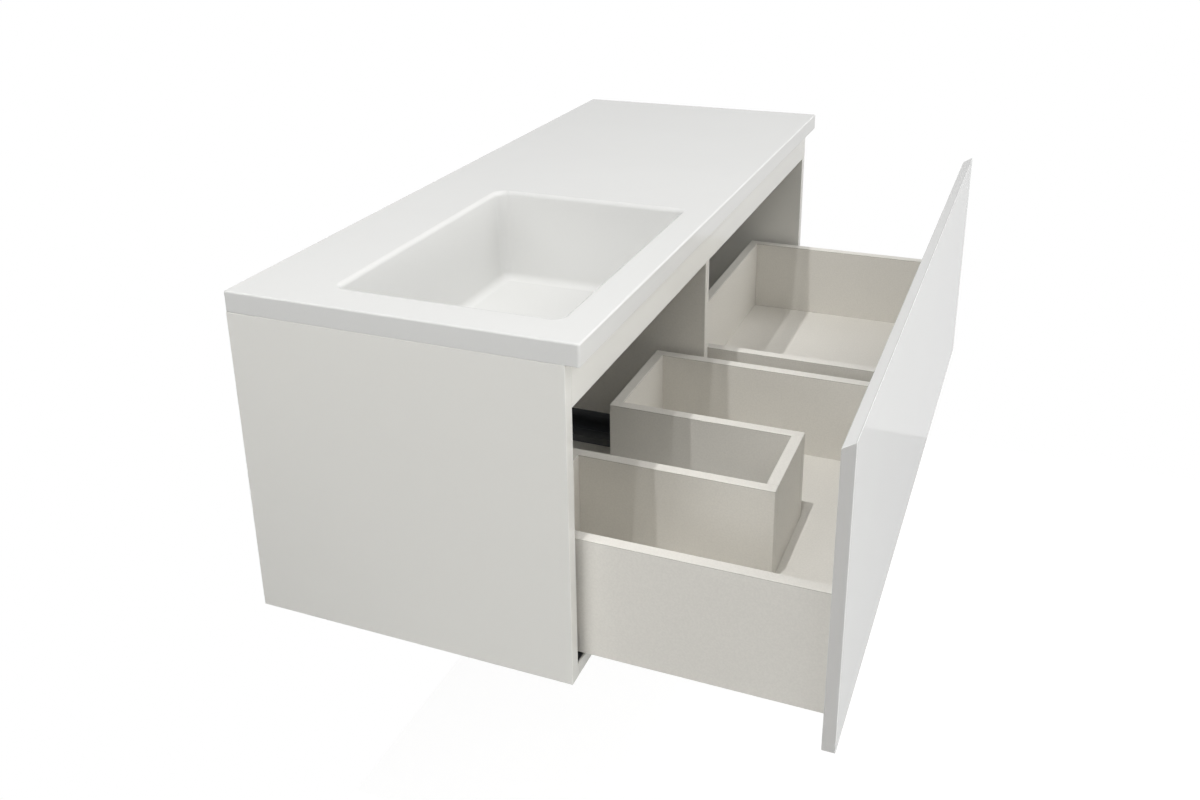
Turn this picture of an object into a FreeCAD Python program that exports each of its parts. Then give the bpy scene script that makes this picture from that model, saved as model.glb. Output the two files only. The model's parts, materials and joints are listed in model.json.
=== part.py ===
"""Wall-hung vanity unit: a cast top with an integral bowl on a board cabinet, and one wide drawer.

The drawer front carries two boxes on concealed runners. The left box has a notch that lets
the trap pass. The drawer stands fully out. Millimetres: +X is right as seen from the front,
+Y runs into the wall, +Z is up. The origin is on the wall, midway between the wall fixings.
"""
import FreeCAD, Part
import os
from math import cos, pi, radians, sin, tan

V = FreeCAD.Vector

# Cabinet boards
width = 1200.0
carcass_height = 430.0
carcass_depth = 457.0
board = 18.0
partition_board = 18.0
front_rail_height = 60.0
back_rail_height = 100.0
edge_break = 0.8

# Wall fixings through the back rails
fixing_radius = 4.0
fixing_inset_x = 120.0
fixing_inset_z = 60.0

# Cast top and bowl
top_thickness = 28.0
top_edge_radius = 2.5
bowl_depth = 140.0
bowl_wall = 12.0
bowl_draft_deg = 5.0
bowl_front_draft_deg = 18.0
bowl_end_margin = 60.0
bowl_middle_margin = 92.0
bowl_back_ledge = 124.0
bowl_rail_gap = 8.0
bowl_corner_radius = 15.0
bowl_floor_radius = 12.0
bowl_rim_radius = 7.0
waste_radius = 22.5

# Drawer front
front_thickness = 16.0
front_side_reveal = 1.5
closing_gap = 2.0
finger_gap = 34.0
bevel_drop = 10.0

# Drawer boxes
drawer_board = 16.0
box_side_height = 164.0
box_gap = 10.5
box_lift = 10.0
bottom_recess = 13.0
notch_clear_width = 138.0
notch_offset = 4.0
notch_front_tray = 113.0

# Concealed runners
rail_sheet = 1.5
rail_setback = 2.0
rail_back_room = 37.0
rail_overlap = 97.0
flange_height = 37.0
channel_height = 12.0
drawer_rail_width = 20.0
drawer_rail_leg = 15.0
drawer_rail_nose = 12.0
rail_side_clearance = 2.5
rail_running_gap = 1.5
hook_width = 9.0
hook_height = 12.0

# Roller carriages between the two rails of a runner
carriage_length = 80.0
carriage_height = 4.5
carriage_side_gap = 1.0
roller_count = 2
roller_gap = 0.3

# Locking clips under the drawer's front corners
clip_length = 36.0
clip_width = 34.0
clip_plate = 3.0
clip_lever_width = 12.0
clip_lever_height = 7.0
clip_corner_radius = 5.0

# Fasteners
screw_radius = 1.9
screw_head_radius = 3.6
screw_head_height = 2.0
screw_depth = 7.0
screw_sides = 8
pilot_spare = 1.0
screw_clearance = 0.3
screw_height = 26.0
screw_inset = 45.0
cam_radius = 7.5
cam_depth = 12.5
cam_setback = 34.0
cam_slot_width = 1.6
cam_slot_depth = 1.5
cam_inset = 32.0
fitting_clearance = 0.1

# Edges whose ends differ by less than this lie level
level_tolerance = 0.01

# Levels and planes that follow from the sizes
half_width = width / 2
inner_x = half_width - board
base_z = -carcass_height / 2
top_z = carcass_height / 2
floor_z = base_z + board
rail_back_y = -(carcass_depth - board)
partition_x = partition_board / 2
rail_length = carcass_depth - board - rail_setback - rail_back_room
drawer_open = rail_length - rail_overlap
box_depth = rail_length
top_depth = carcass_depth + closing_gap + front_thickness
front_back_y = -(carcass_depth + closing_gap + drawer_open)
box_back_y = front_back_y + box_depth
side_bottom_z = floor_z + box_lift
side_top_z = side_bottom_z + box_side_height
tray_under_z = side_bottom_z + bottom_recess
tray_top_z = tray_under_z + drawer_board

pieces = {}


def block(x, y, z):
    """Square-edged block between pairs of limits along X, Y and Z."""
    size = [high - low for low, high in (x, y, z)]
    return Part.makeBox(*size, V(x[0], y[0], z[0]))


def panel(x, y, z):
    """Board with its edges broken by the edge band's small chamfer."""
    shape = block(x, y, z)
    return shape.makeChamfer(edge_break, shape.Edges)


def mirrored(limits, side):
    """Limits given for the right-hand side, turned over to the left where side is -1."""
    return tuple(sorted(side * value for value in limits))


def drill(node, cutter):
    """Cut a hole or seat into a piece that is already made."""
    pieces[node] = pieces[node].cut(cutter)


def frustum(x, y, z, taper, front_taper):
    """Drafted block: x by y at its top, and drawn in at its foot, on the front by front_taper."""
    wedge = Part.makeWedge(
        x[0] + taper, z[0], -y[1] + taper, -y[1], x[0],
        x[1] - taper, z[1], -y[0] - front_taper, -y[0], x[1])
    wedge.rotate(V(0, 0, 0), V(1, 0, 0), 90)
    return wedge


def level_edges(shape, z):
    """Edges that lie in the level plane at height z."""
    return [e for e in shape.Edges
            if max(abs(e.BoundBox.ZMin - z), abs(e.BoundBox.ZMax - z)) < level_tolerance]


def round_corners(shape, radius):
    """Round the upright corners of a block: the edges that rise by more than half their reach."""
    uprights = [e for e in shape.Edges if e.BoundBox.ZLength > e.BoundBox.DiagonalLength / 2]
    return shape.makeFillet(radius, uprights)


def make_carcass():
    """Side panels, bottom, partition and rails, butted board to board."""
    full_depth = (-carcass_depth, 0)
    for name, side in (("left", -1), ("right", 1)):
        pieces[f"{name}_side_panel"] = panel(
            mirrored((inner_x, half_width), side), full_depth, (base_z, top_z))
    between = (-inner_x, inner_x)
    back = (-board, 0)
    pieces["bottom_panel"] = panel(between, full_depth, (base_z, floor_z))
    pieces["front_top_rail"] = panel(
        between, (-carcass_depth, rail_back_y), (top_z - front_rail_height, top_z))
    pieces["back_top_rail"] = panel(between, back, (top_z - back_rail_height, top_z))
    pieces["back_bottom_rail"] = panel(between, back, (floor_z, floor_z + back_rail_height))
    pieces["centre_partition"] = panel(
        (-partition_x, partition_x), (rail_back_y, -board), (floor_z, top_z))


def drill_wall_fixings():
    """Four clear holes for the wall bolts, two in each back rail."""
    x = half_width - fixing_inset_x
    z = top_z - fixing_inset_z
    for name, level in (("back_top_rail", z), ("back_bottom_rail", -z)):
        for side in (-1, 1):
            drill(name, Part.makeCylinder(fixing_radius, board, V(side * x, -board, level), V(0, 1, 0)))


def make_top():
    """Cast slab with a bowl hung under it, whose front wall leans back behind the front rail."""
    surface_z = top_z + top_thickness
    slope = tan(radians(bowl_draft_deg))
    front_slope = tan(radians(bowl_front_draft_deg))
    rim_front = rail_back_y + bowl_rail_gap + bowl_wall - top_thickness * front_slope
    rim_x = (-half_width + bowl_end_margin, -bowl_middle_margin)
    rim_y = (rim_front, -bowl_back_ledge)
    bowl_z = (surface_z - bowl_depth, surface_z)
    cavity = frustum(rim_x, rim_y, bowl_z, bowl_depth * slope, bowl_depth * front_slope)
    cavity = round_corners(cavity, bowl_corner_radius)
    cavity = cavity.makeFillet(bowl_floor_radius, level_edges(cavity, bowl_z[0]))
    shell_height = bowl_depth - top_thickness + bowl_wall
    at_underside = top_thickness * slope - bowl_wall
    shell_x = (rim_x[0] + at_underside, rim_x[1] - at_underside)
    shell_y = (rail_back_y + bowl_rail_gap, rim_y[1] - at_underside)
    shell_z = (top_z - shell_height, top_z)
    shell = frustum(shell_x, shell_y, shell_z, shell_height * slope, shell_height * front_slope)
    shell = round_corners(shell, bowl_corner_radius + bowl_wall)
    slab = block((-half_width, half_width), (-top_depth, 0), (top_z, surface_z))
    slab = slab.makeFillet(top_edge_radius, level_edges(slab, surface_z))
    cast = slab.fuse(shell).removeSplitter().cut(cavity)
    near_bowl = FreeCAD.BoundBox(rim_x[0], rim_y[0], surface_z, rim_x[1], rim_y[1], surface_z)
    near_bowl.enlarge(bowl_rim_radius)
    rim = [e for e in level_edges(cast, surface_z) if near_bowl.isInside(e.CenterOfMass)]
    cast = cast.makeFillet(bowl_rim_radius, rim)
    middle = V(sum(rim_x) / 2, sum(rim_y) / 2, surface_z - bowl_depth - bowl_wall)
    pieces["basin_top"] = cast.cut(Part.makeCylinder(waste_radius, bowl_wall, middle))


def make_front():
    """Full-width drawer front whose top edge slopes back as a finger pull."""
    front_y = front_back_y - front_thickness
    front_top_z = top_z - finger_gap
    outline = [(front_back_y, base_z), (front_y, base_z),
               (front_y, front_top_z), (front_back_y, front_top_z - bevel_drop)]
    reach = half_width - front_side_reveal
    corners = [V(-reach, y, z) for y, z in outline]
    shape = Part.Face(Part.makePolygon(corners + corners[:1])).extrude(V(2 * reach, 0, 0))
    pieces["drawer_front"] = shape.makeChamfer(edge_break, shape.Edges)


def make_box_sides():
    """The four long boards of the two boxes, each running from the front to the box's back."""
    run = (front_back_y, box_back_y)
    rise = (side_bottom_z, side_top_z)
    outer = inner_x - box_gap
    inner = partition_x + box_gap
    near = (inner, inner + drawer_board)
    far = (outer - drawer_board, outer)
    for name, side, ends in (("left_drawer", -1, ("right", "left")),
                             ("right_drawer", 1, ("left", "right"))):
        pieces[f"{name}_{ends[0]}_side"] = panel(mirrored(near, side), run, rise)
        pieces[f"{name}_{ends[1]}_side"] = panel(mirrored(far, side), run, rise)
    return inner + drawer_board, outer - drawer_board


def make_right_box(inside):
    """Plain box: a bottom between the sides and a back standing on it."""
    run = (front_back_y, box_back_y)
    back = (box_back_y - drawer_board, box_back_y)
    pieces["right_drawer_bottom"] = panel(inside, run, (tray_under_z, tray_top_z))
    pieces["right_drawer_back"] = panel(inside, back, (tray_top_z, side_top_z))


def make_left_box(inside):
    """Box with a U-shaped notch from its back: three walls round the notch and two short backs."""
    x_low, x_high = mirrored(inside, -1)
    back = (box_back_y - drawer_board, box_back_y)
    rise = (tray_top_z, side_top_z)
    notch_middle = (x_low + x_high) / 2 - notch_offset
    notch = (notch_middle - notch_clear_width / 2, notch_middle + notch_clear_width / 2)
    wall_front = front_back_y + notch_front_tray
    notch_front = wall_front + drawer_board
    walls = (wall_front, box_back_y)
    tray = block((x_low, x_high), (front_back_y, box_back_y), (tray_under_z, tray_top_z))
    cut = block(notch, (notch_front, box_back_y), (tray_under_z, tray_top_z))
    pieces["left_drawer_bottom"] = tray.cut(cut)
    pieces["notch_left_wall"] = panel((notch[0] - drawer_board, notch[0]), walls, rise)
    pieces["notch_right_wall"] = panel((notch[1], notch[1] + drawer_board), walls, rise)
    pieces["notch_front_wall"] = panel(notch, (wall_front, notch_front), rise)
    pieces["left_drawer_back_left"] = panel((x_low, notch[0] - drawer_board), back, rise)
    pieces["left_drawer_back_right"] = panel((notch[1] + drawer_board, x_high), back, rise)


def section(outline, wall_x, side, y):
    """Bar of one section: outline points are (distance from the wall board, height above the bottom)."""
    corners = [V(wall_x + side * d, y[0], floor_z + h) for d, h in outline]
    return Part.Face(Part.makePolygon(corners + corners[:1])).extrude(V(0, y[1] - y[0], 0))


def make_runner(name, wall_x, side):
    """One concealed runner: folded cabinet rail, drawer rail with its rear hook, and roller carriage."""
    s = rail_sheet
    rail_near = box_gap + drawer_board + rail_side_clearance
    rail_far = rail_near + drawer_rail_width
    near = rail_near + s + rail_running_gap
    far = rail_far - s - rail_running_gap
    under = box_lift + bottom_recess
    cabinet_y = (-(carcass_depth - rail_setback), -(carcass_depth - rail_setback) + rail_length)
    drawer_y = (front_back_y + drawer_rail_nose, box_back_y)

    # flange up the board, foot along the bottom, then a channel folded back on itself
    folded = [(0, 0), (far, 0), (far, channel_height), (near, channel_height), (near, channel_height - s),
              (far - s, channel_height - s), (far - s, s), (s, s), (s, flange_height), (0, flange_height)]
    cabinet_rail = section(folded, wall_x, side, cabinet_y)
    screws = [V(wall_x, y, floor_z + screw_height)
              for y in (cabinet_y[0] + screw_inset, cabinet_y[1] - screw_inset)]
    for seat in screws:
        hole = Part.makeCylinder(screw_radius + screw_clearance, s, seat, V(side, 0, 0))
        cabinet_rail = cabinet_rail.cut(hole)
    pieces[f"{name}_cabinet_rail"] = cabinet_rail

    # channel turned mouth down, with a tab at its back that hooks up behind the box's bottom board
    leg = under - drawer_rail_leg
    cap = [(rail_near, leg), (rail_near + s, leg), (rail_near + s, under - s), (rail_far - s, under - s),
           (rail_far - s, leg), (rail_far, leg), (rail_far, under), (rail_near, under)]
    middle = (rail_near + rail_far) / 2
    tab = [(middle - hook_width / 2, under - s), (middle + hook_width / 2, under - s),
           (middle + hook_width / 2, under + hook_height), (middle - hook_width / 2, under + hook_height)]
    hook = section(tab, wall_x, side, (box_back_y, box_back_y + s))
    pieces[f"{name}_drawer_rail"] = section(cap, wall_x, side, drawer_y).fuse(hook).removeSplitter()

    # roller frame halfway along the stretch that the two rails share
    shared = (cabinet_y[0] + drawer_y[1]) / 2
    roller_radius = (under - s - channel_height) / 2 - roller_gap
    roller_h = channel_height + roller_gap + roller_radius
    frame_near = near + carriage_side_gap
    frame_far = far - carriage_side_gap
    frame_low = roller_h - carriage_height / 2
    frame_high = roller_h + carriage_height / 2
    frame = [(frame_near, frame_low), (frame_far, frame_low),
             (frame_far, frame_high), (frame_near, frame_high)]
    carriage = section(frame, wall_x, side, (shared - carriage_length / 2, shared + carriage_length / 2))
    pitch = carriage_length / roller_count
    for index in range(roller_count):
        y = shared + (index - (roller_count - 1) / 2) * pitch
        axle = V(wall_x + side * frame_near, y, floor_z + roller_h)
        roller = Part.makeCylinder(roller_radius, frame_far - frame_near, axle, V(side, 0, 0))
        carriage = carriage.fuse(roller)
    pieces[f"{name}_roller_carriage"] = carriage.removeSplitter()
    return screws, rail_far


def make_clip(name, wall_x, side, rail_far):
    """Moulded clip beside the drawer rail's nose: a plate under the bottom board and a thumb lever."""
    under = box_lift + bottom_recess
    inside = rail_far + fitting_clearance
    y = (front_back_y, front_back_y + clip_length)
    x = mirrored((wall_x * side + inside, wall_x * side + inside + clip_width), side)
    plate_z = floor_z + under
    plate = block(x, y, (plate_z - clip_plate, plate_z))
    plate = round_corners(plate, clip_corner_radius)
    lever_x = mirrored((wall_x * side + inside + clip_width - clip_lever_width,
                        wall_x * side + inside + clip_width), side)
    lever_z = (plate_z - clip_plate - clip_lever_height, plate_z - clip_plate)
    lever = block(lever_x, (y[0] + clip_corner_radius, y[1] - clip_corner_radius), lever_z)
    lever = lever.makeChamfer(clip_corner_radius / 2, level_edges(lever, lever_z[0]))
    pieces[f"{name}_locking_clip"] = plate.fuse(lever).removeSplitter()


def screw_shank(start, into, length):
    """Screw shank with few sides: a regular prism whose corners lie on the screw's radius."""
    turn = 2 * pi / screw_sides
    corners = [start + V(0, screw_radius * cos(i * turn), screw_radius * sin(i * turn))
               for i in range(screw_sides + 1)]
    return Part.Face(Part.makePolygon(corners)).extrude(into * length)


def make_runner_screws(rows):
    """Pan-head screws that hold the cabinet rails, with their pilot holes in the boards."""
    screws = []
    for node, side, seats in rows:
        for seat in seats:
            into = V(-side, 0, 0)
            out = V(side, 0, 0)
            rail_face = seat + out * rail_sheet
            shank = screw_shank(rail_face, into, rail_sheet + screw_depth)
            head = Part.makeCone(
                screw_head_radius, screw_head_radius - screw_head_height / 2, screw_head_height,
                rail_face, out)
            screws.append(head.fuse(shank).removeSplitter())
            pilot = screw_depth + pilot_spare
            drill(node, Part.makeCylinder(screw_radius + fitting_clearance, pilot, seat, into))
    pieces["runner_screws"] = Part.makeCompound(screws)


def make_cams():
    """Slotted cam discs near the front of each box side, which draw the drawer front up to the box."""
    discs = []
    for node, side in (("left_drawer_left_side", 1), ("left_drawer_right_side", -1),
                       ("right_drawer_left_side", 1), ("right_drawer_right_side", -1)):
        bounds = pieces[node].BoundBox
        face_x = bounds.XMax if side > 0 else bounds.XMin
        for z in (tray_top_z + cam_inset, side_top_z - cam_inset):
            seat = V(face_x, front_back_y + cam_setback, z)
            into = V(-side, 0, 0)
            slot = block((face_x - cam_slot_depth, face_x + cam_slot_depth),
                         (seat.y - cam_radius, seat.y + cam_radius),
                         (z - cam_slot_width / 2, z + cam_slot_width / 2))
            discs.append(Part.makeCylinder(cam_radius, cam_depth, seat, into).cut(slot))
            drill(node, Part.makeCylinder(cam_radius + fitting_clearance, cam_depth, seat, into))
    pieces["front_cam_discs"] = Part.makeCompound(discs)


def make_runners():
    """Four runners, one along each end panel and one on each face of the partition."""
    rows = []
    for name, wall_x, side, node in (
            ("left_outer", -inner_x, 1, "left_side_panel"),
            ("left_inner", -partition_x, -1, "centre_partition"),
            ("right_inner", partition_x, 1, "centre_partition"),
            ("right_outer", inner_x, -1, "right_side_panel")):
        seats, rail_far = make_runner(name, wall_x, side)
        make_clip(name, wall_x, side, rail_far)
        rows.append((node, side, seats))
    make_runner_screws(rows)


make_carcass()
drill_wall_fixings()
make_top()
make_front()
tray_inside = make_box_sides()
make_right_box(tray_inside)
make_left_box(tray_inside)
make_runners()
make_cams()

os.makedirs("parts", exist_ok=True)
for node, shape in pieces.items():
    shape.exportStep(f"parts/{node}.step")
    print(node, len(shape.Solids), "solids", round(shape.Volume / 1000, 1), "cm3", "valid", shape.isValid())
print(len(pieces), "nodes")
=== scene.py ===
# %% [markdown]
# A wall-hung vanity unit with its drawer pulled out: a cast resin top with a bowl in it, a white
# cabinet under the top, and one wide drawer front that carries two boxes. The construction is
# already made at its real size, so this lesson loads it as a fixed frame and works on the looks.

import json
from math import cos, pi, radians, sin, tan

import bpy
import numpy as np
from mathutils import Matrix, Vector


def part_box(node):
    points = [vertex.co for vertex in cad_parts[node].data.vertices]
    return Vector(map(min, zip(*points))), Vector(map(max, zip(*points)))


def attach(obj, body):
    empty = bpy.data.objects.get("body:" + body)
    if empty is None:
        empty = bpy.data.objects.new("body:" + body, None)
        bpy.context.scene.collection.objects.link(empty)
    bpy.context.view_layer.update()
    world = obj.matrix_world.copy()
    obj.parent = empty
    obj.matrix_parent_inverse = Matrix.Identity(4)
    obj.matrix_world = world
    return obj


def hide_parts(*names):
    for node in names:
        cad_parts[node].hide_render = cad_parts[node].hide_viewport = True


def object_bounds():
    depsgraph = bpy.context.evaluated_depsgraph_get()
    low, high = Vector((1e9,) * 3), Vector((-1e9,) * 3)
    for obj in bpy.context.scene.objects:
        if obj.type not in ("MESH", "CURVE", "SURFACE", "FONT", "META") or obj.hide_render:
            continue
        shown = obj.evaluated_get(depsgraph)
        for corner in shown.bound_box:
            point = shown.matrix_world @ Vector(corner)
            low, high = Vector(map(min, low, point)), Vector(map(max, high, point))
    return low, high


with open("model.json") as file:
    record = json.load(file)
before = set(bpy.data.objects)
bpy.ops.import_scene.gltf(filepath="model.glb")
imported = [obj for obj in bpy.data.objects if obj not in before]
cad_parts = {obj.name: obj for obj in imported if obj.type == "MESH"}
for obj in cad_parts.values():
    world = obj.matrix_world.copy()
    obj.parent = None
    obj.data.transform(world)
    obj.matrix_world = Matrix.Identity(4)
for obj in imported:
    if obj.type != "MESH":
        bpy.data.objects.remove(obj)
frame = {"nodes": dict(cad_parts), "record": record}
nodes = frame["nodes"]
record = frame["record"]
frame_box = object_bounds()
scene = bpy.context.scene
scene.view_settings.view_transform = "Standard"

# %% [markdown]
# The photograph was taken from the left, a little in front of the open drawer and from about chest
# height. A camera needs three turns to match it: which way it looks along the floor, how far it
# looks down, and the slight lean that a hand-held camera has. The picture was cropped after it was
# taken, so the lens is shifted down instead of tilting the camera further.

# %% Camera
photo_width = 1200
focal_pixels = 1167.5
crop_right_pixels = 5.1
crop_down_pixels = 122.1
look_towards_right = radians(67.54)
look_down = radians(20.47)
lean = radians(-0.89)
camera_place = (-1.6635, -0.9343, 0.7523)

lens = bpy.data.cameras.new("camera")
lens.sensor_width = 36.0
lens.lens = focal_pixels / photo_width * lens.sensor_width
lens.shift_x = crop_right_pixels / photo_width
lens.shift_y = -crop_down_pixels / photo_width
camera = bpy.data.objects.new("camera", lens)
turn = (Matrix.Rotation(-look_towards_right, 4, "Z")
        @ Matrix.Rotation(pi / 2 - look_down, 4, "X")
        @ Matrix.Rotation(lean, 4, "Z"))
camera.matrix_world = Matrix.Translation(camera_place) @ turn
scene.collection.objects.link(camera)
scene.camera = camera
print("camera with a lens of", round(lens.lens, 2), "mm")

# %% [markdown]
# Every finish below is a small tree of shader nodes. One function adds a node, sets its properties
# and fills its sockets, with a value or with a link from an earlier node. Colours are written as
# the sRGB hex values that a paint chart gives, and one function turns them into the linear
# values that light adds up in.

# %% Helpers for finishes
def linear(hex_colour):
    """Linear RGBA of an sRGB hex colour: each channel to the power 2.4 above its straight toe."""
    channels = np.array([int(hex_colour[i:i + 2], 16) for i in (1, 3, 5)]) / 255
    curve = np.where(channels <= 0.04045, channels / 12.92, ((channels + 0.055) / 1.055) ** 2.4)
    return (*curve.tolist(), 1.0)


def add(tree, kind, sockets=None, **settings):
    """Add one node: settings are its properties, sockets are values or (node, output) links."""
    node = tree.nodes.new(kind)
    for name, value in settings.items():
        setattr(node, name, value)
    for name, value in (sockets or {}).items():
        if isinstance(value, tuple) and isinstance(value[0], bpy.types.Node):
            tree.links.new(value[0].outputs[value[1]], node.inputs[name])
        else:
            node.inputs[name].default_value = value
    return node


def per_metre(millimetres):
    """Texture scale whose features are about that many millimetres wide."""
    return 1000 / millimetres


def new_finish(name):
    """Empty material with its node tree and output node."""
    material = bpy.data.materials.new(name)
    material.use_nodes = True
    tree = material.node_tree
    tree.nodes.clear()
    return material, tree, add(tree, "ShaderNodeOutputMaterial")


print("white of a paint chart's #E6E6E2 is", [round(c, 3) for c in linear("#E6E6E2")[:3]])

# %% [markdown]
# The unit hangs on a wall, so nothing touches the floor. The floor is a plain pale sheet well
# below the unit. A camera sees the sheet and the world as white, as in a catalogue picture, with
# only a faint shadow near the unit, while the light that falls on the unit keeps a plain level.
# Two edges of the sheet show in the gloss as faint steps of grey: the drawer front mirrors the
# right one, and the left panel mirrors the back one, where the foot of the wall would be.

# %% Floor and world
floor_drop = 0.385
floor_right_edge = 0.94
floor_back_edge = -0.05
floor_reach = 6.0
floor_height = frame_box[0].z - floor_drop
floor_white_share = 0.8
floor_white = 1.16
floor_fade_from = 1.2
floor_fade_to = 2.4
floor_mirrored = 0.57
world_level = 0.02
world_mirrored = 0.71


def by_ray(tree, plain, mirrored, seen):
    """One value for light, one for rays off a gloss surface or through glass, one for the camera."""
    path = add(tree, "ShaderNodeLightPath")
    off_gloss = add(tree, "ShaderNodeMath", {
        0: (path, "Is Glossy Ray"), 1: (path, "Is Transmission Ray")}, operation="MAXIMUM")
    unseen = add(tree, "ShaderNodeMix", {0: (off_gloss, 0), 2: plain, 3: mirrored})
    return add(tree, "ShaderNodeMix", {0: (path, "Is Camera Ray"), 2: (unseen, 0), 3: seen})


def make_floor():
    """Flat sheet under the unit, with its right and back edges set and the others far away."""
    left, right = -floor_reach, floor_right_edge
    front, back = -floor_reach, floor_back_edge
    corners = [(left, front), (right, front), (right, back), (left, back)]
    mesh = bpy.data.meshes.new("floor")
    mesh.from_pydata([(*corner, floor_height) for corner in corners], [], [(0, 1, 2, 3)])
    sheet = bpy.data.objects.new("floor", mesh)
    scene.collection.objects.link(sheet)
    material, tree, out = new_finish("pale_paper_sheet")
    paper = add(tree, "ShaderNodeBsdfDiffuse", {"Color": linear("#DDDDDB")})
    level = by_ray(tree, 0.0, floor_mirrored, floor_white)
    white = add(tree, "ShaderNodeEmission", {"Strength": (level, 0)})
    place = add(tree, "ShaderNodeTexCoord")
    away = add(tree, "ShaderNodeVectorMath", {0: (place, "Object")}, operation="LENGTH")
    fade = add(tree, "ShaderNodeMapRange", {
        "Value": (away, "Value"), "From Min": floor_fade_from, "From Max": floor_fade_to,
        "To Min": floor_white_share, "To Max": 1.0})
    share = by_ray(tree, 0.0, 1.0, (fade, 0))
    mix = add(tree, "ShaderNodeMixShader", {0: (share, 0), 1: (paper, 0), 2: (white, 0)})
    tree.links.new(mix.outputs[0], out.inputs["Surface"])
    mesh.materials.append(material)
    return sheet


def make_world():
    """White to the camera, a pale room in what the gloss mirrors, and a little light all round."""
    world = bpy.data.worlds.new("studio")
    world.use_nodes = True
    tree = world.node_tree
    tree.nodes.clear()
    level = by_ray(tree, world_level, world_mirrored, 1.0)
    sky = add(tree, "ShaderNodeBackground", {"Color": (1, 1, 1, 1), "Strength": (level, 0)})
    out = add(tree, "ShaderNodeOutputWorld")
    tree.links.new(sky.outputs[0], out.inputs["Surface"])
    scene.world = world
    return world


floor = make_floor()
world = make_world()
print(floor.name, "at", round(floor_height, 3), "m,", world.name, "at a level of", world_level)

# %% [markdown]
# The shadows in the photograph tell where the lamps were. The front edge of the top throws two
# fairly sharp shadows straight down on the boxes, and the wall of the notch throws a short one to
# the front and right, so two small lamps hung high above the left end, one behind the other. The
# left panel is brighter towards the wall, so a broader lamp near that end stands for the light that
# the wall throws back. Soft boxes fill in the rest from a dome round the unit. The cabinet stays
# dark inside, so the ones behind it and on the right stand low.

# %% Lamps
unit_middle = np.array([0.0, -0.4, 0.0])
near_lamps = {
    "ceiling_lamp_back": dict(place=(-1.7, -0.285, 4.85), size=0.08, power=94.0),
    "ceiling_lamp_front": dict(place=(-1.7, -0.735, 4.85), size=0.08, power=44.0),
    "wall_bounce": dict(place=(-2.3, 0.3, 0.85), size=0.9, power=11.0),
}
soft_box_size = 3.4
soft_box_distance = 6.0
soft_boxes = {
    "front_level_box": dict(turn=0, height=0, power=96.0),
    "front_low_box": dict(turn=0, height=12, power=58.0),
    "front_high_box": dict(turn=0, height=45, power=65.0),
    "front_left_high_box": dict(turn=45, height=45, power=50.0),
    "left_low_box": dict(turn=90, height=12, power=14.0),
    "left_high_box": dict(turn=90, height=45, power=10.0),
    "back_low_box": dict(turn=180, height=12, power=24.0),
    "right_low_box": dict(turn=270, height=12, power=50.0),
    "front_right_low_box": dict(turn=315, height=12, power=40.0),
    "front_right_high_box": dict(turn=315, height=45, power=72.0),
}


def make_lamp(name, place, size, power):
    """Round area lamp at a place, turned so that its face looks at the middle of the unit."""
    light = bpy.data.lights.new(name, "AREA")
    light.shape = "DISK"
    light.size = size
    light.energy = power
    lamp = bpy.data.objects.new(name, light)
    lamp.location = place
    lamp.rotation_euler = (lamp.location - Vector(unit_middle)).to_track_quat("Z", "Y").to_euler()
    lamp.visible_camera = False
    lamp.visible_glossy = False
    scene.collection.objects.link(lamp)


def on_dome(turn, height):
    """Place of a soft box: degrees turned from the front towards the left, and degrees up."""
    turn, height = radians(turn), radians(height)
    way = np.array([-sin(turn) * cos(height), -cos(turn) * cos(height), sin(height)])
    return unit_middle + soft_box_distance * way


for lamp_name, lamp in near_lamps.items():
    make_lamp(lamp_name, **lamp)
for box_name, box in soft_boxes.items():
    make_lamp(box_name, on_dome(box["turn"], box["height"]), soft_box_size, box["power"])
print(len(near_lamps), "lamps near the unit and", len(soft_boxes), "soft boxes")

# %% [markdown]
# The top is cast resin with a gel coat: a polished white skin that the mould gives it, slightly
# wavy over a hand's width, with the faintest cloud in the white. The back of a casting stays raw,
# so the underside is rougher and greyer. The piece carries an attribute that says which side a
# point is on, because both sides are one skin.

# %% Gel coat finish
def gel_coat():
    """Cast resin: clouded white with a polished skin, raw where the mould did not reach."""
    material, tree, out = new_finish("gel_coated_cast_resin")
    place = add(tree, "ShaderNodeTexCoord")
    polished = add(tree, "ShaderNodeAttribute", attribute_name="polished")
    cloud = add(tree, "ShaderNodeTexNoise", {"Vector": (place, "Object"), "Scale": per_metre(180),
                                             "Detail": 2.0})
    skin = add(tree, "ShaderNodeMix", {0: (cloud, 0), 6: linear("#E0E0DE"), 7: linear("#E3E3E1")},
               data_type="RGBA")
    grit = add(tree, "ShaderNodeTexNoise", {"Vector": (place, "Object"), "Scale": per_metre(6),
                                            "Detail": 4.0})
    raw = add(tree, "ShaderNodeMix", {0: (grit, 0), 6: linear("#CFCDC6"), 7: linear("#DEDCD6")},
              data_type="RGBA")
    colour = add(tree, "ShaderNodeMix", {0: (polished, "Fac"), 6: (raw, 2), 7: (skin, 2)},
                 data_type="RGBA")
    rough = add(tree, "ShaderNodeMapRange", {"Value": (polished, "Fac"), "To Min": 0.55, "To Max": 0.1})
    wave = add(tree, "ShaderNodeTexNoise", {"Vector": (place, "Object"), "Scale": per_metre(70),
                                            "Detail": 1.0})
    relief = add(tree, "ShaderNodeMix", {0: (polished, "Fac"), 2: (grit, 0), 3: (wave, 0)})
    bump = add(tree, "ShaderNodeBump", {"Height": (relief, 0), "Strength": 0.25, "Distance": 0.0004})
    skin_shader = add(tree, "ShaderNodeBsdfPrincipled", {
        "Base Color": (colour, 2), "Roughness": (rough, 0), "IOR": 1.5, "Normal": (bump, 0)})
    tree.links.new(skin_shader.outputs[0], out.inputs["Surface"])
    return material


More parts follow.
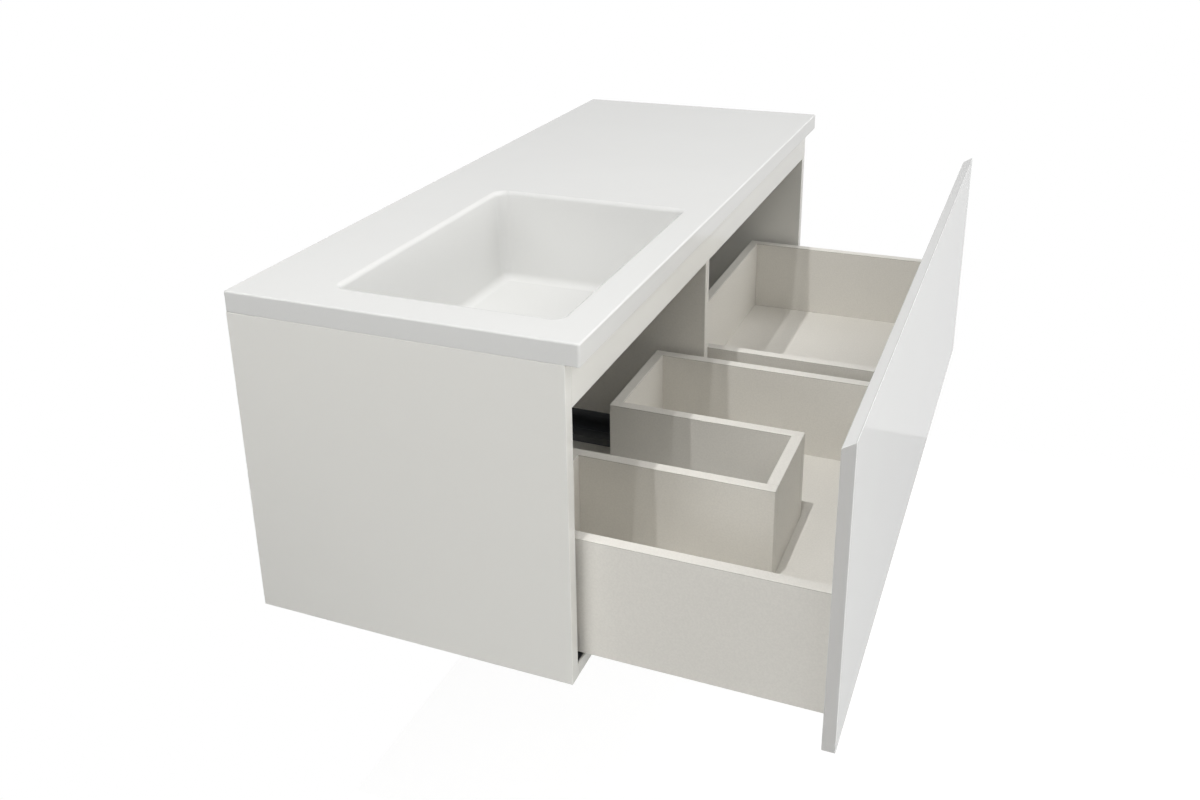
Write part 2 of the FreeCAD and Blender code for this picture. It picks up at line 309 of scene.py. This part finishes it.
cast_finish = gel_coat()
print("made", cast_finish.name)

# %% [markdown]
# The cabinet and the drawer front are fibreboard sprayed with gloss lacquer. Sprayed lacquer dries
# with a very fine orange peel, about 3 mm from crest to crest, which only softens what it mirrors.
# It is drawn coarser here, or it would be lost between pixels. On the drawer front the ends are
# drawn greyer than its face, and the top arris a little greyer, as painted shade that dulls its
# highlight.

# %% Gloss lacquer finish
end_skin = 0.0003
end_shade = "#D3D2D0"
# Painted shade on the drawer front's top arris, which dulls the highlight along it.
arris_width = 0.0008
painted_arris_shade = "#DCDCDB"


def gloss_lacquer(name, dark, light, smoothest, roughest, greyer_from=None):
    """Sprayed lacquer: white with a faint orange peel, greyer where |X| or Z passes the given edges."""
    material, tree, out = new_finish(name)
    place = add(tree, "ShaderNodeTexCoord")
    drift = add(tree, "ShaderNodeTexNoise", {"Vector": (place, "Object"), "Scale": per_metre(250),
                                             "Detail": 2.0})
    colour = add(tree, "ShaderNodeMix", {0: (drift, 0), 6: linear(dark), 7: linear(light)},
                 data_type="RGBA")
    if greyer_from:
        axes = add(tree, "ShaderNodeSeparateXYZ", {0: (place, "Object")})
        across = add(tree, "ShaderNodeMath", {0: (axes, "X")}, operation="ABSOLUTE")
        # Past the Z edge the arris takes painted shade; past the X edge the ends are drawn greyer.
        for reach, edge, shade in (((axes, "Z"), greyer_from[1], painted_arris_shade),
                                   ((across, 0), greyer_from[0], end_shade)):
            greyer_here = add(tree, "ShaderNodeMath", {0: reach, 1: edge}, operation="GREATER_THAN")
            colour = add(tree, "ShaderNodeMix", {0: (greyer_here, 0), 6: (colour, 2), 7: linear(shade)},
                         data_type="RGBA")
    peel = add(tree, "ShaderNodeTexNoise", {"Vector": (place, "Object"), "Scale": per_metre(9),
                                            "Detail": 1.0})
    bump = add(tree, "ShaderNodeBump", {"Height": (peel, 0), "Strength": 0.02, "Distance": 0.0002})
    rough = add(tree, "ShaderNodeMapRange", {"Value": (drift, 0), "To Min": smoothest,
                                             "To Max": roughest})
    lacquer = add(tree, "ShaderNodeBsdfPrincipled", {
        "Base Color": (colour, 2), "Roughness": (rough, 0), "IOR": 1.48, "Normal": (bump, 0)})
    tree.links.new(lacquer.outputs[0], out.inputs["Surface"])
    return material


front_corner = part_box("drawer_front")[1]
board_finish = gloss_lacquer("gloss_lacquered_fibreboard", "#ECEBE6", "#EEEDE8",
                             smoothest=0.1, roughest=0.16)
front_finish = gloss_lacquer("gloss_lacquered_front", "#EBEBEA", "#EDEDEC",
                             smoothest=0.03, roughest=0.06,
                             greyer_from=(front_corner.x - end_skin, front_corner.z - arris_width))
print("made", board_finish.name, "and", front_finish.name)

# %% [markdown]
# The drawer boxes are particle board faced with matt white melamine paper. The press plate leaves
# a pearl grain in it, under a millimetre wide and drawn coarser here. The cut edges are closed
# with a tape about a millimetre thick. A hair of grey just below the top edge of every wall is its
# glue joint, drawn darker as painted shade under the lip of the tape.

# %% Melamine finish
tape_depth = 0.0011
glue_and_shadow_line = 0.0006
box_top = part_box("left_drawer_left_side")[1].z


def matt_melamine(name, line_at=None):
    """Pearl-grained paper: a warm white with a fine speckle, and a grey glue line with painted shade at
    a height.
    """
    material, tree, out = new_finish(name)
    place = add(tree, "ShaderNodeTexCoord")
    pearl = add(tree, "ShaderNodeTexNoise", {"Vector": (place, "Object"), "Scale": per_metre(2.5),
                                             "Detail": 3.0})
    drift = add(tree, "ShaderNodeTexNoise", {"Vector": (place, "Object"), "Scale": per_metre(140),
                                             "Detail": 2.0})
    paper = add(tree, "ShaderNodeMix", {0: (drift, 0), 6: linear("#E4E1DA"), 7: linear("#E8E5DE")},
                data_type="RGBA")
    speck = add(tree, "ShaderNodeMapRange", {"Value": (pearl, 0), "From Min": 0.35, "From Max": 0.65,
                                             "To Min": 0.97, "To Max": 1.02})
    grained = add(tree, "ShaderNodeVectorMath", {0: (paper, 2), 1: (speck, 0)}, operation="MULTIPLY")
    colour = (grained, 0)
    # The line is the tape's glue joint, darkened as painted shade under its lip.
    if line_at:
        axes = add(tree, "ShaderNodeSeparateXYZ", {0: (place, "Object")})
        line = add(tree, "ShaderNodeMath", {0: (axes, "Z"), 1: line_at, 2: glue_and_shadow_line / 2},
                   operation="COMPARE")
        lined = add(tree, "ShaderNodeMix", {0: (line, 0), 6: colour, 7: linear("#B0ACA4")},
                    data_type="RGBA")
        colour = (lined, 2)
    bump = add(tree, "ShaderNodeBump", {"Height": (pearl, 0), "Strength": 0.2, "Distance": 0.0002})
    melamine = add(tree, "ShaderNodeBsdfPrincipled", {
        "Base Color": colour, "Roughness": 0.42, "IOR": 1.5, "Normal": (bump, 0)})
    tree.links.new(melamine.outputs[0], out.inputs["Surface"])
    return material


inside_finish = matt_melamine("matt_melamine_faced_board")
drawer_finish = matt_melamine("matt_melamine_faced_drawer_board", line_at=box_top - tape_depth)
print("made", inside_finish.name, "and", drawer_finish.name)

# %% [markdown]
# The runners are folded from zinc-plated sheet steel, here drawn much darker than plating is, as
# painted shade for the dark gap they run in. Rolling draws the sheet into long faint streaks, and
# the plating clouds it, so roughness changes along the rail. The cam discs are bright zinc die
# castings, and the screws are plated to match. The roller carriages are moulded nylon, and the
# locking clips a tougher grey plastic. A mould's grain is a few tenths of a millimetre wide; here
# it is drawn coarser, so that it shows.

# %% Metal and plastic finishes
def zinc_plate(name, dark, light, streak_mm, across_mm, rough_low, rough_high):
    """Plated zinc: streaks that are long along Y and fine across, lighter and smoother in turn."""
    material, tree, out = new_finish(name)
    place = add(tree, "ShaderNodeTexCoord")
    stretch = add(tree, "ShaderNodeMapping", {
        "Vector": (place, "Object"),
        "Scale": (per_metre(across_mm), per_metre(streak_mm), per_metre(across_mm))})
    streak = add(tree, "ShaderNodeTexNoise", {"Vector": (stretch, 0), "Scale": 1.0, "Detail": 3.0})
    colour = add(tree, "ShaderNodeMix", {0: (streak, 0), 6: linear(dark), 7: linear(light)},
                 data_type="RGBA")
    rough = add(tree, "ShaderNodeMapRange", {"Value": (streak, 0), "To Min": rough_low,
                                             "To Max": rough_high})
    bump = add(tree, "ShaderNodeBump", {"Height": (streak, 0), "Strength": 0.15, "Distance": 0.0001})
    metal = add(tree, "ShaderNodeBsdfPrincipled", {
        "Base Color": (colour, 2), "Metallic": 1.0, "Roughness": (rough, 0), "Normal": (bump, 0)})
    tree.links.new(metal.outputs[0], out.inputs["Surface"])
    return material


def moulded_plastic(name, dark, light, rough):
    """Spark-eroded mould texture: a fine even grain in colour and relief."""
    material, tree, out = new_finish(name)
    place = add(tree, "ShaderNodeTexCoord")
    grain = add(tree, "ShaderNodeTexNoise", {"Vector": (place, "Object"), "Scale": per_metre(1.5),
                                             "Detail": 2.0})
    colour = add(tree, "ShaderNodeMix", {0: (grain, 0), 6: linear(dark), 7: linear(light)},
                 data_type="RGBA")
    bump = add(tree, "ShaderNodeBump", {"Height": (grain, 0), "Strength": 0.3, "Distance": 0.0001})
    plastic = add(tree, "ShaderNodeBsdfPrincipled", {
        "Base Color": (colour, 2), "Roughness": rough, "IOR": 1.53, "Normal": (bump, 0)})
    tree.links.new(plastic.outputs[0], out.inputs["Surface"])
    return material


# The rail's zinc is drawn dark, as painted shade for the gap it runs in.
rail_finish_painted_dark = zinc_plate("zinc_plated_sheet_steel_painted_dark", "#5E6062", "#84868A",
                         streak_mm=60, across_mm=1.2, rough_low=0.28, rough_high=0.45)
fitting_finish = zinc_plate("bright_zinc_die_casting", "#A8A8A4", "#C6C6C2",
                            streak_mm=3, across_mm=3, rough_low=0.22, rough_high=0.34)
carriage_finish = moulded_plastic("moulded_nylon", "#CFCBC0", "#DAD7CD", rough=0.4)
clip_finish = moulded_plastic("moulded_glass_filled_plastic", "#4F5153", "#5E6062", rough=0.5)
print("made", rail_finish_painted_dark.name, fitting_finish.name, carriage_finish.name, clip_finish.name)

# %% [markdown]
# The nodes of the frame keep their shape and only take a finish. Their names say what they are, so
# the words in a name choose its finish.

# %% Dress the frame
finish_of_words = (
    (("cabinet_rail", "drawer_rail"), rail_finish_painted_dark),
    (("roller_carriage",), carriage_finish),
    (("locking_clip",), clip_finish),
    (("screws", "cam_discs"), fitting_finish),
    (("left_drawer", "right_drawer", "notch"), drawer_finish),
    (("partition", "back_"), inside_finish),
    (("drawer_front",), front_finish),
    (("panel", "front_top_rail"), board_finish),
    (("basin_top",), cast_finish),
)
for node_name, node in nodes.items():
    finish = next(f for words, f in finish_of_words if any(word in node_name for word in words))
    node.data.materials.clear()
    node.data.materials.append(finish)
    print(node_name, "is", finish.name)

# %% [markdown]
# The bowl is where the eye rests, and its soft rim needs a finer skin than the frame's. The whole
# casting is one profile carried round a path. The path is a rounded rectangle, and the profile
# starts at the waste hole, runs over the bowl's floor, up its drafted wall, over the rim, out to
# the edge of the slab, round it and back along the underside to the hole. Each point of the
# profile has its own rectangle, corner radius and height, so numpy can work out all of them at once.

# %% Basin sizes
bowl_end_margin = 0.060
bowl_back_ledge = 0.124
bowl_depth = 0.140
bowl_draft = radians(5.0)
bowl_front_draft = radians(18.0)
bowl_wall = 0.012
corner_radius = 0.015
floor_radius = 0.012
rim_radius = 0.007
waste_edge_radius = 0.002
slab_thickness = 0.028
slab_edge_radius = 0.0025
slab_corner_radius = 0.003
slab_arris = 0.001
shell_edge_radius = 0.008

low, high = (np.array(corner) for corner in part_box("basin_top"))
waste = next(m for m in record["mounts"] if m["name"] == "waste_outlet")
waste_middle = np.array(waste["pos_m"][:2])
waste_radius = waste["dims"]["r_mm"] / 1000
rim_half = np.array([waste_middle[0] - low[0] - bowl_end_margin,
                     high[1] - bowl_back_ledge - waste_middle[1]])
surface = high[2]
bowl_floor = surface - bowl_depth
print("bowl of", (2 * rim_half).round(3), "m about the waste hole at", waste_middle)

# %% [markdown]
# A loop goes once round a rectangle with rounded corners. Every loop has as many points as the next,
# in the same order, so neighbouring loops can be joined point by point. Towards the waste hole the
# loops turn into circles: each point slides along its own ray from the middle of the hole.

# %% Loops round rounded rectangles
arc_points = 14
edge_points = 14


def rounded_loops(middle, half, radius, height):
    """Loops of points round rectangles: quarter circles at the corners, joined by straight runs.

    middle and half are (loops, 2), radius and height are (loops,). The result is
    (loops, points, 3), counter-clockwise as seen from above.
    """
    corner = np.array([(1, 1), (-1, 1), (-1, -1), (1, -1)])
    centre = middle[:, None] + corner * (half - radius[:, None])[:, None]
    angle = (np.arange(4)[:, None] + np.linspace(0, 1, arc_points)) * pi / 2
    round_part = np.stack([np.cos(angle), np.sin(angle)], axis=-1)
    arcs = centre[:, :, None] + radius[:, None, None, None] * round_part
    share = np.linspace(0, 1, edge_points + 2)[1:-1, None]
    following = np.roll(arcs[:, :, :1], -1, axis=1)
    runs = arcs[:, :, -1:] * (1 - share) + following * share
    flat = np.concatenate([arcs, runs], axis=2).reshape(len(middle), -1, 2)
    level = np.broadcast_to(height[:, None, None], (*flat.shape[:2], 1))
    return np.concatenate([flat, level], axis=2)


def spread_to_circle(loop, radius, shares):
    """Rings from a loop to a circle about the waste hole: each point slides along its own ray."""
    ray = loop[:, :2] - waste_middle
    reach = np.linalg.norm(ray, axis=1, keepdims=True)
    shares = np.asarray(shares)[:, None, None]
    flat = waste_middle + ray / reach * (reach * (1 - shares) + radius * shares)
    level = np.broadcast_to(loop[:1, 2:], (*flat.shape[:2], 1))
    return np.concatenate([flat, level], axis=2)


print("a loop has", 4 * (arc_points + edge_points), "points")

# %% [markdown]
# A wall of the bowl leans in as it goes down, so its inset from the rim grows with depth. Where it
# meets the floor, a circle takes over from the straight line, and another one rolls it over the
# rim. The front wall leans further back than the others, out of the way of the rail below the slab.

# %% Profile of the casting
quarter_points = 9
wall_points = 8
quarter_steps = 1 - np.cos(np.linspace(0, pi / 2, quarter_points))


def straight_inset(height, draft, outside):
    """Inset of a plain drafted wall: depth times the draft's slope, less its distance outside."""
    return (surface - height) * tan(draft) - outside


def footed_inset(height, draft, outside, foot, radius):
    """Inset of a wall with a rounded foot: a circle of that radius below its tangent point."""
    centre_inset = straight_inset(foot + radius, draft, outside) + radius / cos(draft)
    rise = height - foot - radius
    circle = centre_inset - np.sqrt(np.maximum(radius ** 2 - rise ** 2, 0))
    return np.where(rise < -radius * sin(draft), circle, straight_inset(height, draft, outside))


def bowl_inset(height, draft):
    """Inset of the bowl's inner face: rounded foot, straight wall, and a circle over the rim."""
    wall = footed_inset(height, draft, 0.0, bowl_floor, floor_radius)
    rise = height - surface + rim_radius
    centre_inset = rim_radius * (tan(draft) - 1 / cos(draft))
    circle = centre_inset + np.sqrt(np.maximum(rim_radius ** 2 - rise ** 2, 0))
    return np.where(rise > rim_radius * sin(draft), circle, wall)


def shell_inset(height, draft):
    """Inset of the bowl's outer face, one wall thickness outside the inner one."""
    return footed_inset(height, draft, bowl_wall, bowl_floor - bowl_wall, shell_edge_radius)


def wall_loops(height, inset_of, outside):
    """Loops at these heights, drawn in from the rim, and further in at the front than elsewhere."""
    side = inset_of(height, bowl_draft)
    front = inset_of(height, bowl_front_draft)
    middle = waste_middle + np.column_stack([np.zeros_like(height), (front - side) / 2])
    half = rim_half - np.column_stack([side, (front + side) / 2])
    corner = corner_radius + outside + straight_inset(height, bowl_draft, outside) - side
    return rounded_loops(middle, half, corner, height)


def slab_loops():
    """Loops down the slab's edge: a quarter circle at the top, then a small arris below."""
    inset = np.concatenate([slab_edge_radius * quarter_steps[::-1], slab_arris * quarter_steps])
    height = np.concatenate([surface - slab_edge_radius * quarter_steps,
                             surface - slab_thickness + slab_arris * quarter_steps[::-1]])
    middle = np.tile((low + high)[:2] / 2, (len(inset), 1))
    half = (high - low)[:2] / 2 - inset[:, None]
    return rounded_loops(middle, half, slab_corner_radius - inset, height)


wall_heights = np.linspace(bowl_floor + floor_radius, surface - rim_radius, wall_points)
bowl_heights = np.concatenate([bowl_floor + floor_radius * quarter_steps, wall_heights[1:-1],
                               surface - rim_radius * quarter_steps[::-1]])
shell_heights = np.concatenate([[surface - slab_thickness],
                                bowl_floor - bowl_wall + shell_edge_radius * quarter_steps[::-1]])
bowl = wall_loops(bowl_heights, bowl_inset, 0.0)
slab = slab_loops()
shell = wall_loops(shell_heights, shell_inset, bowl_wall)
print("bowl", bowl.shape, "slab", slab.shape, "shell", shell.shape)

# %% [markdown]
# Now the loops are put in the profile's order and joined into one closed skin, in which the last
# loop meets the first at the waste hole. Normals weighted by area keep the large faces flat in the
# gloss, while the small roundings between them stay soft.

# %% Basin piece
floor_points = 5
sharp_angle = radians(35)


def waste_rings():
    """The hole's rounded top edge, from the straight bore out to the bowl's floor."""
    widths = waste_radius + waste_edge_radius * quarter_steps
    rings = np.concatenate([spread_to_circle(bowl[0], width, [1.0]) for width in widths])
    rings[:, :, 2] -= waste_edge_radius * quarter_steps[::-1, None]
    return rings


def ring_mesh(name, loops):
    """Mesh of a grid that closes both ways: each ring joins the next, and the last joins the first."""
    rings, around = loops.shape[:2]
    ring = np.arange(rings)[:, None]
    step = np.arange(around)[None, :]
    beyond = (ring + 1) % rings
    after = (step + 1) % around
    quads = np.stack([ring * around + step, beyond * around + step,
                      beyond * around + after, ring * around + after], axis=-1)
    mesh = bpy.data.meshes.new(name)
    mesh.from_pydata(loops.reshape(-1, 3).tolist(), [], quads.reshape(-1, 4).tolist())
    return mesh


def make_basin():
    """The casting as one closed skin, with its polished side marked point by point."""
    inward = np.linspace(0, 1, floor_points)
    floor_rings = spread_to_circle(bowl[0], waste_radius + waste_edge_radius, inward[-2:0:-1])
    foot_rings = spread_to_circle(shell[-1], waste_radius, inward[1:])
    polished_loops = np.concatenate([waste_rings(), floor_rings, bowl, slab])
    raw_loops = np.concatenate([shell, foot_rings])
    loops = np.concatenate([polished_loops, raw_loops])
    mesh = ring_mesh("cast_basin", loops)
    side = np.repeat([1.0, 0.0], [polished_loops[:, :, 0].size, raw_loops[:, :, 0].size])
    mesh.attributes.new("polished", "FLOAT", "POINT").data.foreach_set("value", side)
    mesh.shade_smooth()
    mesh.set_sharp_from_angle(angle=sharp_angle)
    mesh.materials.append(cast_finish)
    piece = bpy.data.objects.new("cast_basin", mesh)
    scene.collection.objects.link(piece)
    piece.modifiers.new("even_gloss", "WEIGHTED_NORMAL").keep_sharp = True
    return piece


basin = make_basin()
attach(basin, "cabinet")
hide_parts("basin_top")
print(basin.name, "has", len(basin.data.polygons), "faces")
